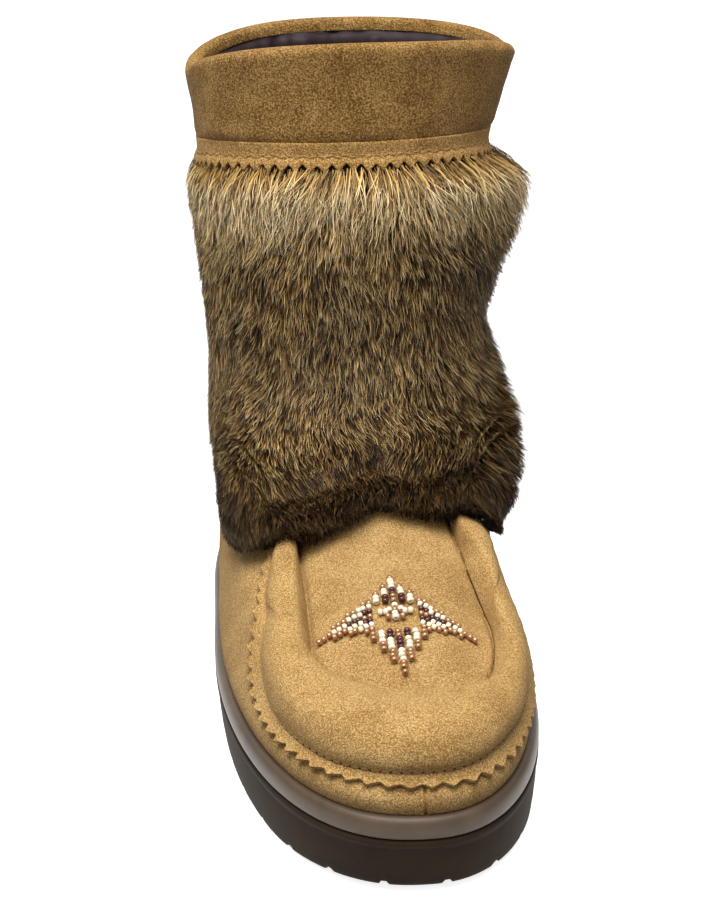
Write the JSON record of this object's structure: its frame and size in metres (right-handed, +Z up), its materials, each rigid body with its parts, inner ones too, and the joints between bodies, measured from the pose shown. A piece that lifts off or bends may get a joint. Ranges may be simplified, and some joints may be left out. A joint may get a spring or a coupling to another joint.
{
  "type": "mukluk boot",
  "caption": "Ankle-high right mukluk boot: suede foot with a pinked apron, beadwork star, deep fur cuff, turned suede collar and lugged rubber sole.",
  "frame": {"origin": "on the ground under the middle of the boot's box", "axes": "+Z up, toe towards -Y, heel towards +Y, medial side towards +X"},
  "size_m": [0.1313, 0.282, 0.2336],
  "materials": {
    "outsole_rubber": "matte moulded, dark brown",
    "band_rubber": "satin moulded, grey brown",
    "insole_felt": "napped, dark brown",
    "suede": "napped suede, camel tan",
    "apron_suede": "napped suede, camel tan",
    "fur": "dense brown and grey banded fur with gold tips",
    "collar_suede": "napped suede, golden tan",
    "trim_suede": "napped suede with pinked edge",
    "beads": "glossy copper, cream and dark maroon seed beads",
    "cream_beads": "glossy opaque cream seed beads"
  },
  "bodies": {
    "root": {"outsole": "outsole_rubber", "midsole": "band_rubber", "insole": "insole_felt", "upper": "suede", "apron": "apron_suede", "fur_cuff": "fur", "collar": "collar_suede", "collar_trim": "trim_suede", "bead_star": "beads", "bead_flower": "cream_beads"}
  },
  "joints": []
}
